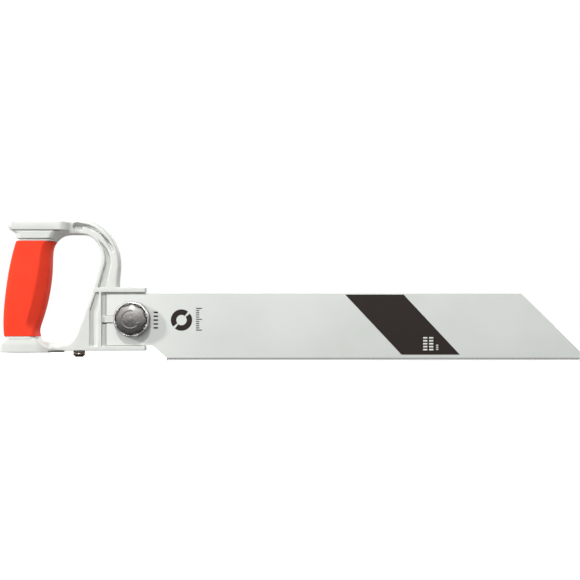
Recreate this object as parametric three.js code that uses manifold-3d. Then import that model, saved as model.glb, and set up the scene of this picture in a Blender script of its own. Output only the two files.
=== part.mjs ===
// Hand saw for plastic pipe.
// A die-cast D handle with a rubber grip carries a wide blade with 45 degree ends. The blade's slotted
// tang lies against the casting, between two flanges, and a threaded knob clamps it there.
//
// Millimetres. The origin is on the clamp stud's axis, at the stud's flat rear end. +X runs along the
// blade to its point, +Z is up with the teeth facing down, and the knob is on the -Y side.
import * as THREE from "three";
import { mergeVertices } from "three/addons/utils/BufferGeometryUtils.js";
import Module from "manifold-3d";

const wasm = await Module();
wasm.setup();

// ---------------------------------------------------------------- driving dimensions

const FACETS = 32;
const RING_POINTS = 28;
const TOUCH = 0.05; // gap left between pieces that touch
const OVERSHOOT = 2; // how far a cutting solid runs past the face it cuts

const BACK = 0;
const FRONT = -13.5;
const CORE = (BACK + FRONT) / 2; // the middle of the arm and the strip
const MIDDLE = -8.25; // the middle of the grip, the cap and the foot
const ARM_WEB = 3.5;
const CASTING_TOP = 107.9;
const SOLE = -35.4;

const BLADE_THICKNESS = 1.2;
const BLADE_FRONT = -10.6;
const BLADE_BACK = BLADE_FRONT + BLADE_THICKNESS;
const SEAT = BLADE_BACK + TOUCH;
const SEAT_WEB = 3.5;
const SEAT_REAR = SEAT + SEAT_WEB;

const BLADE_REAR = -27.9;
const BLADE_TOP = 28.1;
const TANG_BOTTOM = -28.1;
const SLOT_WIDTH = 8.5;
const HEEL = 21.9;
const TOOTH_TIPS = -45;
const TOOTH_DEPTH = 2;
const TOOTHED_START = 37.2;
const TOOTHED_LENGTH = 450;
const TEETH = 159;
const TOP_CORNER = 421.5;
const POINT_HEIGHT = 8.7;

const FLANGE_END = 14.3;
const TOP_FLANGE = { low: 28.9, high: 34.7 };
const BOTTOM_FLANGE = { low: -33.7, high: -28.9 };
const RIB = { left: -37.6, right: -33.1 };
const POCKET_LEFT = -46.1;
const POCKET_DEPTH = 3.6;
const LEDGE = { right: -29.2, belowBlade: 0.4 }; // the step behind the blade's rear edge
const KEY = { right: -17, half: 4, proud: 1 }; // the raised bar that fills the slot's open end
const BACK_RIB = { right: -9.5, offset: 8, half: 1.25, top: -2 };
const NUT_PAD = { radius: 11, height: 0.1 };
const BACK_CORE = { corners: [[-49, 13], [-49, -14], [-56.6, -14]], floor: -10 };
const REST_PAD = { left: -89.4, right: -74.4, half: 4.5, thickness: 1.6 };

const STUD_R = 4;
const RUNNING_GAP = 0.1;
const COLLAR_R = 6.5;
const COLLAR_THICKNESS = 1.5;
const LOCK_NUT = { flats: 13, thickness: 4, chamfer: 0.6 };
const LOCK_WASHER = { radius: 7.4, thickness: 1.5 };
const FIBRE = { radius: 13, thickness: 1 };
const PRESSURE = { radius: 12.5, thickness: 1.5 };

const KNOB_R = 19.7;
const KNOB_LOBES = 8;
const KNOB_TURN = (-6 * Math.PI) / 180; // where the first scallop lies
const KNOB_LOBE_DEPTH = 1.5;
const KNOB_FACE_R = 16.9;
const KNOB_HEIGHT = 15;
const SKIRT_GAP = 1.6;
const INSERT = { radius: 7.5, length: 8.8 };

const SCREW_X = -58.6;
const SCREW_SHANK = 14;
const SCREW_HOLE_SPARE = 0.5; // how far the hole runs past the shank's end
const BUTTON_HEAD = { radius: 6.7, thickness: 4.2, socketFlats: 5, socketDepth: 2.4 };
const SPRING_WASHER = { radius: 6.3, thickness: 2.4, split: 1.2 };

// Grip stations from the bottom up: height, rear edge, front edge (the finger side), half depth.
const GRIP_STATIONS = [
  { z: -18.1, rear: -137.4, front: -100.6, half: 13.9 },
  { z: -12.5, rear: -138, front: -101.8, half: 14.2 },
  { z: 7, rear: -138.1, front: -96.3, half: 14.8 },
  { z: 24.5, rear: -136.6, front: -92, half: 15 },
  { z: 46, rear: -133.3, front: -88.7, half: 15 },
  { z: 63, rear: -129.6, front: -87.9, half: 14.8 },
  { z: 75, rear: -126.6, front: -87.2, half: 14.4 },
  { z: 80.3, rear: -125.2, front: -85.6, half: 14.2 },
  { z: 84.3, rear: -124.2, front: -83, half: 14.1 },
];
const GRIP_SQUARENESS = 2.9;
const RUBBER = 4.5;

// ---------------------------------------------------------------- solids

function solidOf(geometry) {
  const bare = geometry.index ? geometry.toNonIndexed() : geometry;
  bare.deleteAttribute("normal");
  bare.deleteAttribute("uv");
  const merged = mergeVertices(bare, 1e-4);
  return new wasm.Manifold(
    new wasm.Mesh({
      numProp: 3,
      vertProperties: new Float32Array(merged.attributes.position.array),
      triVerts: new Uint32Array(merged.index.array),
    }),
  );
}

function joined(solids) {
  return solids.reduce((whole, next) => whole.add(next));
}

function cutBy(solid, tools) {
  return tools.reduce((rest, tool) => rest.subtract(tool), solid);
}

function box(x, y, z) {
  const size = [x, y, z].map(([low, high]) => high - low);
  const centre = [x, y, z].map(([low, high]) => (low + high) / 2);
  return solidOf(new THREE.BoxGeometry(...size).translate(...centre));
}

// A flat shape drawn in X and Z, given thickness from one Y to another.
function plate(shape, [fromY, toY], curveSegments = 8) {
  const options = { depth: toY - fromY, bevelEnabled: false, curveSegments };
  const geometry = new THREE.ExtrudeGeometry(shape, options);
  return solidOf(geometry.rotateX(Math.PI / 2).translate(0, toY, 0));
}

function polygon(points) {
  return new THREE.Shape(points.map(([x, z]) => new THREE.Vector2(x, z)));
}

// A round piece on the Y axis. The profile is a closed loop of radius and Y, anticlockwise.
function turned(profile, facets = FACETS) {
  const points = profile.map(([radius, y]) => new THREE.Vector2(radius, y));
  return solidOf(new THREE.LatheGeometry(points, facets));
}

function disc(radius, [fromY, toY]) {
  return turned([[0, fromY], [radius, fromY], [radius, toY], [0, toY]]);
}

function washer(inner, outer, [fromY, toY]) {
  return turned([[inner, fromY], [outer, fromY], [outer, toY], [inner, toY], [inner, fromY]]);
}

// A hexagonal bar on the Y axis.
function hexagon(flats, [fromY, toY]) {
  const circumradius = flats / Math.sqrt(3);
  const geometry = new THREE.CylinderGeometry(circumradius, circumradius, toY - fromY, 6);
  return solidOf(geometry.translate(0, (fromY + toY) / 2, 0));
}

// A horizontal ring: a rounded rectangle whose corners get tighter with more squareness.
function ring({ z, rear, front, half }, squareness) {
  const points = [];
  for (let i = 0; i < RING_POINTS; i++) {
    const angle = (2 * Math.PI * (i + 0.5)) / RING_POINTS;
    const along = Math.sign(Math.cos(angle)) * Math.abs(Math.cos(angle)) ** (2 / squareness);
    const across = Math.sign(Math.sin(angle)) * Math.abs(Math.sin(angle)) ** (2 / squareness);
    const x = (rear + front) / 2 + ((front - rear) / 2) * along;
    points.push([x, MIDDLE + half * across, z]);
  }
  return points;
}

// A closed solid through a stack of rings, each given as a station.
function stack(stations, squareness) {
  const positions = [];
  const faces = [];
  stations.forEach((station) => positions.push(...ring(station, squareness)));
  for (let level = 0; level < stations.length - 1; level++) {
    for (let i = 0; i < RING_POINTS; i++) {
      const a = level * RING_POINTS + i;
      const b = level * RING_POINTS + ((i + 1) % RING_POINTS);
      faces.push(a, b, b + RING_POINTS, a, b + RING_POINTS, a + RING_POINTS);
    }
  }
  const last = (stations.length - 1) * RING_POINTS;
  for (let i = 1; i < RING_POINTS - 1; i++) {
    faces.push(0, i + 1, i, last, last + i, last + i + 1);
  }
  const geometry = new THREE.BufferGeometry();
  geometry.setAttribute("position", new THREE.Float32BufferAttribute(positions.flat(), 3));
  geometry.setIndex(faces);
  return solidOf(geometry);
}

function inset(station, along, across) {
  return {
    z: station.z,
    rear: station.rear + along,
    front: station.front - along,
    half: station.half - across,
  };
}

// ---------------------------------------------------------------- materials

function material(color, roughness, metalness) {
  return new THREE.MeshStandardMaterial({ color, roughness, metalness });
}

const paint = material(0xe4e6e0, 0.45, 0.1);
const rubber = material(0xff4f39, 0.8, 0);
const bladeSteel = material(0xd0d4d0, 0.4, 0.8);
const dieCastZinc = material(0x8a8a8a, 0.35, 0.9);
const zincPlate = material(0xb8b8b4, 0.35, 0.9);
const blackSteel = material(0x2c2a28, 0.5, 0.6);
const fibre = material(0x7a2f24, 0.8, 0);
const darkRubber = material(0x54504c, 0.85, 0);

const saw = new THREE.Group();

function addPiece(name, solid, look) {
  const { vertProperties, triVerts } = solid.getMesh();
  const geometry = new THREE.BufferGeometry();
  geometry.setAttribute("position", new THREE.Float32BufferAttribute(vertProperties, 3));
  geometry.setIndex(Array.from(triVerts));
  geometry.computeVertexNormals();
  const mesh = new THREE.Mesh(geometry, look);
  mesh.name = name;
  saw.add(mesh);
}

// ---------------------------------------------------------------- handle casting

// The arm, the gusset and the strip under the hand, seen from the knob side.
function bodyOutline() {
  const shape = new THREE.Shape();
  shape.moveTo(-100, CASTING_TOP);
  shape.lineTo(-57, CASTING_TOP);
  shape.absellipse(-57, 60, 43.4, CASTING_TOP - 60, Math.PI / 2, 0, true);
  shape.lineTo(-13.7, 55);
  shape.lineTo(-14.9, 46);
  shape.lineTo(-15, TOP_FLANGE.high);
  shape.lineTo(FLANGE_END, TOP_FLANGE.high);
  shape.lineTo(FLANGE_END, BOTTOM_FLANGE.low);
  shape.lineTo(-97, BOTTOM_FLANGE.low);
  shape.lineTo(-97, -24);
  shape.lineTo(-86, -24.4);
  shape.lineTo(-74, -24.4);
  shape.quadraticCurveTo(-65, -24.4, -59, -11.4);
  shape.quadraticCurveTo(-46.2, 17, -38.3, 50);
  shape.quadraticCurveTo(-34.1, 63, -34.1, 70.2);
  shape.absellipse(-54.9, 70.2, 20.8, 22, 0, Math.PI / 2, false);
  shape.lineTo(-68, 92.2);
  shape.quadraticCurveTo(-77, 91.6, -84, 87);
  shape.lineTo(-100, 89);
  return shape;
}

// The recess along the top of the arm. It starts wide and round and narrows to a point.
function upperRecess() {
  const shape = new THREE.Shape();
  shape.moveTo(-17.2, 69);
  shape.splineThru([
    new THREE.Vector2(-24.8, 84.6),
    new THREE.Vector2(-39.9, 99.6),
    new THREE.Vector2(-60, 105.4),
  ]);
  shape.absarc(-60, 101, 4.4, Math.PI / 2, (3 * Math.PI) / 2, false);
  shape.lineTo(-54, 96.6);
  shape.lineTo(-53, 101);
  shape.splineThru([
    new THREE.Vector2(-35.6, 93.6),
    new THREE.Vector2(-24.8, 77.2),
    new THREE.Vector2(-17.2, 69),
  ]);
  return shape;
}

// The recess down the inside of the arm. It starts at a point and ends on the top flange.
function lowerRecess() {
  const shape = new THREE.Shape();
  const foot = TOP_FLANGE.high;
  shape.moveTo(-39.9, 91.8);
  shape.splineThru([
    new THREE.Vector2(-31.8, 77.7),
    new THREE.Vector2(-29.1, 65.7),
    new THREE.Vector2(-32.4, 51.7),
    new THREE.Vector2(-37.2, foot),
  ]);
  shape.lineTo(-28.4, foot);
  shape.splineThru([
    new THREE.Vector2(-24.8, 51.7),
    new THREE.Vector2(-22.6, 62.5),
    new THREE.Vector2(-28, 79.9),
    new THREE.Vector2(-39.9, 91.8),
  ]);
  return shape;
}

function pocketOutline() {
  return polygon([
    [POCKET_LEFT, BOTTOM_FLANGE.high],
    [RIB.left, BOTTOM_FLANGE.high],
    [RIB.left, 8],
    [RIB.left + 2, 11.5],
    [RIB.left + 2, TOP_FLANGE.low],
    [-39.4, TOP_FLANGE.low],
    [POCKET_LEFT, 10.3],
  ]);
}

// Cap, collar and the lip above the grip, from the bottom up.
const HEAD_STATIONS = [
  { z: 84.5, rear: -124.1, front: -83.5, half: 13.6 },
  { z: 85.9, rear: -124.1, front: -83.1, half: 13.6 },
  { z: 85.9, rear: -122.3, front: -84.6, half: 12.4 },
  { z: 86.9, rear: -122.3, front: -84.6, half: 12.4 },
  { z: 86.9, rear: -123.6, front: -82, half: 13.6 },
  { z: 93, rear: -125, front: -76.5, half: 13.9 },
  { z: 96.2, rear: -129.4, front: -74.5, half: 14.1 },
  { z: 96.2, rear: -130.4, front: -73.5, half: 14.8 },
  { z: 99.4, rear: -132.2, front: -72.5, half: 15 },
  { z: 103.5, rear: -132.6, front: -72.5, half: 15 },
  { z: 106.7, rear: -130.8, front: -73.5, half: 13.6 },
  { z: CASTING_TOP, rear: -127.4, front: -75.5, half: 11 },
];

// Foot and the lip under the grip, from the bottom up.
const FOOT_STATIONS = [
  { z: SOLE, rear: -141.3, front: -90.3, half: 13.3 },
  { z: SOLE + 0.8, rear: -142, front: -89.6, half: 14 },
  { z: -26.4, rear: -141.6, front: -91.8, half: 14 },
  { z: -21, rear: -136.6, front: -99, half: 13.2 },
  { z: -20.3, rear: -136.6, front: -101, half: 13 },
  { z: -18.3, rear: -137.2, front: -101, half: 13.6 },
];

function gripPost() {
  const inner = GRIP_STATIONS.map((station) => inset(station, RUBBER, RUBBER));
  const bottom = { ...inner[0], z: SOLE + OVERSHOOT };
  const top = { ...inner[inner.length - 1], z: CASTING_TOP - 7.6 };
  return stack([bottom, ...inner, top], GRIP_SQUARENESS);
}

function handleFrame() {
  const frontFace = [FRONT - OVERSHOOT, SEAT];
  const backFace = [SEAT_REAR, BACK + OVERSHOOT];
  const seatZ = [BOTTOM_FLANGE.high, TOP_FLANGE.low];
  const pastEnd = FLANGE_END + OVERSHOOT;
  const armFront = [FRONT - OVERSHOOT, CORE - ARM_WEB / 2];
  const armBack = [CORE + ARM_WEB / 2, BACK + OVERSHOOT];

  const raw = joined([
    plate(bodyOutline(), [FRONT, BACK]),
    stack(HEAD_STATIONS, 5),
    stack(FOOT_STATIONS, 5),
    gripPost(),
  ]);
  const cored = cutBy(raw, [
    box([RIB.right, pastEnd], frontFace, seatZ),
    box([RIB.right, pastEnd], backFace, seatZ),
    plate(pocketOutline(), [FRONT - OVERSHOOT, FRONT + POCKET_DEPTH]),
    plate(pocketOutline(), [SEAT_REAR, BACK + OVERSHOOT]),
    plate(polygon(BACK_CORE.corners), [BACK_CORE.floor, BACK + OVERSHOOT]),
    plate(upperRecess(), armFront, 4),
    plate(upperRecess(), armBack, 4),
    plate(lowerRecess(), armFront, 4),
    plate(lowerRecess(), armBack, 4),
  ]);
  const rooted = RIB.right - 1;
  const ledge = box([rooted, LEDGE.right], [BLADE_FRONT + LEDGE.belowBlade, SEAT + 1], seatZ);
  const key = box([rooted, KEY.right], [BLADE_FRONT - KEY.proud, SEAT + 1], [-KEY.half, KEY.half]);
  const backRibs = [-BACK_RIB.offset, BACK_RIB.offset].map((z) =>
    box(
      [rooted, BACK_RIB.right],
      [SEAT_REAR - 1, BACK_RIB.top],
      [z - BACK_RIB.half, z + BACK_RIB.half],
    ),
  );
  const nutPad = disc(NUT_PAD.radius, [SEAT_REAR - 1, SEAT_REAR + NUT_PAD.height]);
  const screwHole = disc(STUD_R + RUNNING_GAP, [0, SCREW_SHANK + OVERSHOOT])
    .rotate([90, 0, 0])
    .translate([SCREW_X, CORE, BOTTOM_FLANGE.low - OVERSHOOT + SCREW_HOLE_SPARE]);
  return cutBy(joined([cored, ledge, key, ...backRibs, nutPad]), [
    disc(STUD_R + RUNNING_GAP, [SEAT - OVERSHOOT, BACK]),
    disc(COLLAR_R + RUNNING_GAP, [SEAT - OVERSHOOT, SEAT + COLLAR_THICKNESS + TOUCH]),
    screwHole,
  ]);
}

addPiece("handle_frame", handleFrame(), paint);

// ---------------------------------------------------------------- grip and rest pad

function rubberGrip() {
  const clearance = RUBBER - 0.15;
  const bore = GRIP_STATIONS.map((station) => inset(station, clearance, clearance));
  const below = { ...bore[0], z: bore[0].z - OVERSHOOT };
  const above = { ...bore[bore.length - 1], z: bore[bore.length - 1].z + OVERSHOOT };
  const outer = stack(GRIP_STATIONS, GRIP_SQUARENESS);
  return outer.subtract(stack([below, ...bore, above], GRIP_SQUARENESS));
}

addPiece("rubber_grip", rubberGrip(), rubber);

function restPad() {
  const top = BOTTOM_FLANGE.low - TOUCH;
  const { left, right, half, thickness } = REST_PAD;
  return box([left, right], [CORE - half, CORE + half], [top - thickness, top]);
}

addPiece("rest_pad", restPad(), darkRubber);

// ---------------------------------------------------------------- blade

// Outline of the blade, with each tooth's steep face towards the handle.
function bladeOutline() {
  const pitch = TOOTHED_LENGTH / TEETH;
  const gullet = TOOTH_TIPS + TOOTH_DEPTH;
  const end = TOOTHED_START + TOOTHED_LENGTH;
  const shape = new THREE.Shape();
  shape.moveTo(BLADE_REAR, SLOT_WIDTH / 2);
  shape.lineTo(0, SLOT_WIDTH / 2);
  shape.absarc(0, 0, SLOT_WIDTH / 2, Math.PI / 2, -Math.PI / 2, true);
  shape.lineTo(BLADE_REAR, -SLOT_WIDTH / 2);
  shape.lineTo(BLADE_REAR, TANG_BOTTOM);
  shape.lineTo(HEEL, TANG_BOTTOM);
  shape.lineTo(TOOTHED_START - pitch * 0.15, gullet);
  for (let i = 0; i < TEETH; i++) {
    const tip = TOOTHED_START + i * pitch;
    shape.lineTo(tip, TOOTH_TIPS);
    shape.lineTo(tip + pitch * 0.85, gullet);
  }
  shape.lineTo(end, TOOTH_TIPS);
  shape.lineTo(end, TOOTH_TIPS + POINT_HEIGHT);
  shape.lineTo(TOP_CORNER, BLADE_TOP);
  shape.lineTo(BLADE_REAR, BLADE_TOP);
  return shape;
}

addPiece("saw_blade", plate(bladeOutline(), [BLADE_FRONT, BLADE_BACK], 8), bladeSteel);

// ---------------------------------------------------------------- clamp

const fibreFrom = BLADE_FRONT - TOUCH;
const fibreTo = fibreFrom - FIBRE.thickness;
const pressureFrom = fibreTo - TOUCH;
const pressureTo = pressureFrom - PRESSURE.thickness;
const knobSeat = pressureTo - TOUCH;
const insertEnd = knobSeat - INSERT.length;
const knobFace = BLADE_FRONT - KNOB_HEIGHT;
const studEnd = insertEnd + 0.5;
const WASHER_BORE = STUD_R + 0.25;

function clampStud() {
  const collarBack = SEAT + COLLAR_THICKNESS;
  return turned([
    [0, studEnd],
    [STUD_R - 0.8, studEnd],
    [STUD_R, studEnd + 0.8],
    [STUD_R, SEAT],
    [COLLAR_R, SEAT],
    [COLLAR_R, collarBack],
    [STUD_R, collarBack],
    [STUD_R, BACK],
    [0, BACK],
  ]);
}

const lockWasherFrom = SEAT_REAR + NUT_PAD.height + TOUCH;
const lockNutFrom = lockWasherFrom + LOCK_WASHER.thickness + TOUCH;

function lockNut() {
  const span = [lockNutFrom, lockNutFrom + LOCK_NUT.thickness];
  const inner = LOCK_NUT.flats / 2;
  const outer = LOCK_NUT.flats / Math.sqrt(3);
  const chamferedBlank = turned([
    [0, span[0]],
    [inner, span[0]],
    [outer, span[0] + LOCK_NUT.chamfer],
    [outer, span[1] - LOCK_NUT.chamfer],
    [inner, span[1]],
    [0, span[1]],
  ]);
  const bore = disc(STUD_R + TOUCH, [span[0] - OVERSHOOT, span[1] + OVERSHOOT]);
  return hexagon(LOCK_NUT.flats, span).intersect(chamferedBlank).subtract(bore);
}

addPiece("clamp_stud", clampStud(), zincPlate);
addPiece(
  "stud_lock_washer",
  washer(WASHER_BORE, LOCK_WASHER.radius, [lockWasherFrom, lockWasherFrom + LOCK_WASHER.thickness]),
  zincPlate,
);
addPiece("stud_lock_nut", lockNut(), zincPlate);
addPiece("fibre_washer", washer(WASHER_BORE, FIBRE.radius, [fibreTo, fibreFrom]), fibre);
addPiece(
  "pressure_washer",
  washer(WASHER_BORE, PRESSURE.radius, [pressureTo, pressureFrom]),
  zincPlate,
);

// The knob's rim: lobes with scallops between them.
function lobedOutline(radius, depth) {
  const steps = KNOB_LOBES * 6;
  const points = [];
  for (let i = 0; i < steps; i++) {
    const angle = (2 * Math.PI * i) / steps;
    const scallop = Math.abs(Math.cos((KNOB_LOBES * (angle - KNOB_TURN)) / 2)) ** 3;
    const r = radius - depth * scallop;
    points.push([r * Math.cos(angle), r * Math.sin(angle)]);
  }
  return polygon(points);
}

function clampKnob() {
  const skirtFoot = BLADE_FRONT - SKIRT_GAP;
  const shoulder = knobFace + 4.5;
  const skirt = plate(lobedOutline(KNOB_R, KNOB_LOBE_DEPTH), [shoulder, skirtFoot]);
  const crown = turned([
    [0, knobFace],
    [KNOB_FACE_R * 0.6, knobFace + 0.3],
    [KNOB_FACE_R * 0.9, knobFace + 1.2],
    [KNOB_FACE_R, knobFace + 2.4],
    [KNOB_FACE_R, skirtFoot - 1],
    [0, skirtFoot - 1],
  ]);
  return cutBy(joined([skirt, crown]), [
    disc(FIBRE.radius + 1.2, [knobSeat, BACK]),
    disc(INSERT.radius + TOUCH, [insertEnd - TOUCH, BACK]),
  ]);
}

addPiece("clamp_knob", clampKnob(), dieCastZinc);
addPiece(
  "knob_insert",
  washer(STUD_R + RUNNING_GAP, INSERT.radius, [insertEnd, knobSeat]),
  zincPlate,
);

// ---------------------------------------------------------------- screw in the sole

const washerTop = BOTTOM_FLANGE.low - TOUCH;
const washerFoot = washerTop - SPRING_WASHER.thickness;
const headTop = washerFoot - TOUCH;

// Moves a piece made on the Y axis to the screw's upright axis, keeping its Y as height.
function onScrewAxis(solid) {
  return solid.rotate([90, 0, 0]).translate([SCREW_X, CORE, 0]);
}

function baseScrew() {
  const headFoot = headTop - BUTTON_HEAD.thickness;
  const round = turned([
    [0, headFoot],
    [BUTTON_HEAD.radius * 0.55, headFoot],
    [BUTTON_HEAD.radius * 0.85, headFoot + 1.2],
    [BUTTON_HEAD.radius, headFoot + 3.2],
    [BUTTON_HEAD.radius, headTop],
    [STUD_R, headTop],
    [STUD_R, headTop + SCREW_SHANK],
    [0, headTop + SCREW_SHANK],
  ]);
  const socket = hexagon(BUTTON_HEAD.socketFlats, [
    headFoot - OVERSHOOT,
    headFoot + BUTTON_HEAD.socketDepth,
  ]);
  return onScrewAxis(round.subtract(socket));
}

function springWasher() {
  const whole = onScrewAxis(washer(WASHER_BORE, SPRING_WASHER.radius, [washerFoot, washerTop]));
  const half = SPRING_WASHER.split / 2;
  const gap = box(
    [SCREW_X - half, SCREW_X + half],
    [CORE - SPRING_WASHER.radius - OVERSHOOT, CORE],
    [washerFoot - OVERSHOOT, washerTop + OVERSHOOT],
  );
  return whole.subtract(gap);
}

addPiece("base_screw", baseScrew(), blackSteel);
addPiece("base_screw_washer", springWasher(), blackSteel);

export default saw;
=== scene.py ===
"""Looks of a hand saw for plastic pipe: a coated casting, a rubber grip, a clamped steel blade.

Blender works in metres. Shapes are worked out in millimetres and scaled when a mesh is made.
+X runs along the blade to its point, +Z is up with the teeth facing down, and the knob is on
the -Y side.
"""

import math

import bmesh
import bpy
import numpy as np
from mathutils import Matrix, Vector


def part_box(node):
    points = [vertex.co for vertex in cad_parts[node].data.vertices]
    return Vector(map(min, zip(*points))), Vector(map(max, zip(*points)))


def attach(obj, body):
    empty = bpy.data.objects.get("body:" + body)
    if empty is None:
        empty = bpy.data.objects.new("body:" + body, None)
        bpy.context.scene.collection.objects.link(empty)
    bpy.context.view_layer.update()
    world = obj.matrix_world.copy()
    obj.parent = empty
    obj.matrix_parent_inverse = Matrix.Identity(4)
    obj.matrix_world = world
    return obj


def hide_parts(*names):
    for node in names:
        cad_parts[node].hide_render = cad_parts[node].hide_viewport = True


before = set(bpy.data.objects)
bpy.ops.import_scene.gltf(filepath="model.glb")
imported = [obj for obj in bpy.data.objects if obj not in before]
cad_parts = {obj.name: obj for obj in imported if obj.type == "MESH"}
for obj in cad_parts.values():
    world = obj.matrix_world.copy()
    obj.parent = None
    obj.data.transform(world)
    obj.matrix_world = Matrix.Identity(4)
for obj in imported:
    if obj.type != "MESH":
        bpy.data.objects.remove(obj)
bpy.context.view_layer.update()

import openvdb
from mathutils import Matrix, Vector

MM = 0.001


# ---- places taken from the frame


def box_mm(node):
    low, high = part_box(node)
    return low / MM, high / MM


CASTING_LOW, CASTING_HIGH = box_mm("handle_frame")
GRIP_LOW, GRIP_HIGH = box_mm("rubber_grip")
BLADE_LOW, BLADE_HIGH = box_mm("saw_blade")
KNOB_LOW, KNOB_HIGH = box_mm("clamp_knob")
PAD_LOW, PAD_HIGH = box_mm("rest_pad")
SCREW_LOW, SCREW_HIGH = box_mm("base_screw")
WASHER_LOW, WASHER_HIGH = box_mm("base_screw_washer")
NUT_LOW, NUT_HIGH = box_mm("stud_lock_nut")
STUD_LOW, STUD_HIGH = box_mm("clamp_stud")

MIDDLE = (CASTING_LOW.y + CASTING_HIGH.y) / 2
BACK = STUD_HIGH.y
CORE = (SCREW_LOW.y + SCREW_HIGH.y) / 2
FRONT = 2 * CORE - BACK
SOLE = CASTING_LOW.z
CASTING_TOP = CASTING_HIGH.z
FLANGE_END = CASTING_HIGH.x
BLADE_FRONT, BLADE_BACK = BLADE_LOW.y, BLADE_HIGH.y
SEAT = BLADE_BACK + 0.05
SEAT_WEB = 3.5
SEAT_REAR = SEAT + SEAT_WEB
STRIP_BOTTOM = PAD_HIGH.z + 0.05
FLANGE_GAP = 1.4
TOP_FLANGE = (BLADE_HIGH.z + FLANGE_GAP, BLADE_HIGH.z + 6.6)
BOTTOM_FLANGE = (STRIP_BOTTOM, STRIP_BOTTOM + 4.8)
RIB_LEFT, RIB_RIGHT = -37.6, -33.1
POCKET_LEFT = -45.8
POCKET_DEPTH = 2.4
ARM_WEB = 3.5
ARM_ROUNDING = 3.2
SCREW_X = (SCREW_LOW.x + SCREW_HIGH.x) / 2


# ---- meshes


def new_object(name, data):
    thing = bpy.data.objects.new(name, data)
    bpy.context.scene.collection.objects.link(thing)
    return thing


def link(name, mesh, material, body, node=None):
    """A finished mesh as a piece that rides on a body, in the place of a CAD node if named."""
    piece = new_object(name, mesh)
    mesh.materials.append(material)
    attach(piece, body)
    if node:
        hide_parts(node)
    return piece


def mesh_of(name, points_mm, faces, smooth=True):
    mesh = bpy.data.meshes.new(name)
    mesh.from_pydata([tuple(p) for p in np.asarray(points_mm) * MM], [], [tuple(f) for f in faces])
    mesh.validate()
    if smooth:
        mesh.shade_smooth()
    mesh.update()
    return mesh


def grid_faces(levels, count):
    """Quads between levels of points, where each level closes on itself."""
    faces = []
    for start in range(0, (levels - 1) * count, count):
        for i in range(count):
            a, b = start + i, start + (i + 1) % count
            faces.append((a, b, b + count, a + count))
    return faces


def turned(name, profile, sharp, facets=96, radius_at=None):
    """A round piece about the Y axis from (radius, y) points, closed on the axis or as a loop.

    Edges that turn more than `sharp` degrees are sharp. radius_at(radius, y, angle) may change
    a point's radius.
    """
    points = []
    for radius, y in profile:
        for i in range(facets):
            angle = 2 * math.pi * i / facets
            r = radius_at(radius, y, angle) if radius_at else radius
            points.append((r * math.cos(angle), y, r * math.sin(angle)))
    mesh = mesh_of(name, points, grid_faces(len(profile), facets))
    weld(mesh)
    mark_sharp(mesh, sharp)
    return mesh


def weld(mesh, distance=1e-7):
    """Merges points that lie together, which closes a turned piece on its axis.

    All faces are then turned outward.
    """
    bm = bmesh.new()
    bm.from_mesh(mesh)
    bmesh.ops.remove_doubles(bm, verts=bm.verts, dist=distance)
    bmesh.ops.recalc_face_normals(bm, faces=bm.faces)
    bm.to_mesh(mesh)
    bm.free()


def mark_sharp(mesh, degrees):
    """Smooth shading, broken at edges that turn more than this."""
    mesh.shade_smooth()
    bm = bmesh.new()
    bm.from_mesh(mesh)
    limit = math.radians(degrees)
    for edge in bm.edges:
        edge.smooth = len(edge.link_faces) != 2 or edge.calc_face_angle() < limit
    bm.to_mesh(mesh)
    bm.free()


# ---- distance fields


def smooth_min(a, b, blend):
    """The union of two fields, with a fillet about as wide as the blend where they meet."""
    if blend <= 0:
        return np.minimum(a, b)
    h = np.maximum(blend - np.abs(a - b), 0) / blend
    return np.minimum(a, b) - h * h * blend / 4


def outline_distance(points, x, z):
    """Signed distance in X and Z from a closed outline, negative inside."""
    nearest = np.full(np.broadcast(x, z).shape, 1e9)
    inside = np.zeros(nearest.shape, bool)
    for (ax, az), (bx, bz) in zip(points, points[1:] + points[:1]):
        ex, ez = bx - ax, bz - az
        length2 = ex * ex + ez * ez
        if length2 < 1e-9:
            continue
        wx, wz = x - ax, z - az
        t = np.clip((wx * ex + wz * ez) / length2, 0, 1)
        nearest = np.minimum(nearest, (wx - ex * t) ** 2 + (wz - ez * t) ** 2)
        if az != bz:
            inside ^= ((az > z) != (bz > z)) & (x < ex * (z - az) / ez + ax)
    return np.sqrt(nearest) * np.where(inside, -1, 1)


def thick(flat, y, y0, y1, edge):
    """Gives a flat field thickness from y0 to y1 across it, with its edges rounded."""
    across = np.abs(y - (y0 + y1) / 2) - (y1 - y0) / 2 + edge
    along = flat + edge
    outside = np.hypot(np.maximum(along, 0), np.maximum(across, 0))
    return np.minimum(np.maximum(along, across), 0) + outside - edge


def block(low, high, edge):
    """A box with rounded edges, as a shape for Clay."""

    def shape(*place):
        total, deepest = 0, -1e9
        for value, a, b in zip(place, low, high):
            q = np.abs(value - (a + b) / 2) - (b - a) / 2 + edge
            total = total + np.maximum(q, 0) ** 2
            deepest = np.maximum(deepest, q)
        return np.sqrt(total) + np.minimum(deepest, 0) - edge

    return shape


def column(x, y, z, heights, rear, front, half, corner, edge):
    """An upright block whose plan is a rounded rectangle that changes with height."""
    rear_at, front_at, half_at = (np.interp(z, heights, v) for v in (rear, front, half))
    qx = np.abs(x - (rear_at + front_at) / 2) - (front_at - rear_at) / 2 + corner
    qy = np.abs(y - MIDDLE) - half_at + corner
    plan = np.hypot(np.maximum(qx, 0), np.maximum(qy, 0))
    plan = plan + np.minimum(np.maximum(qx, qy), 0) - corner
    return thick(plan, z, heights[0], heights[-1], edge)


FAR = 50.0
NORMAL_REACH = 0.7


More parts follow.
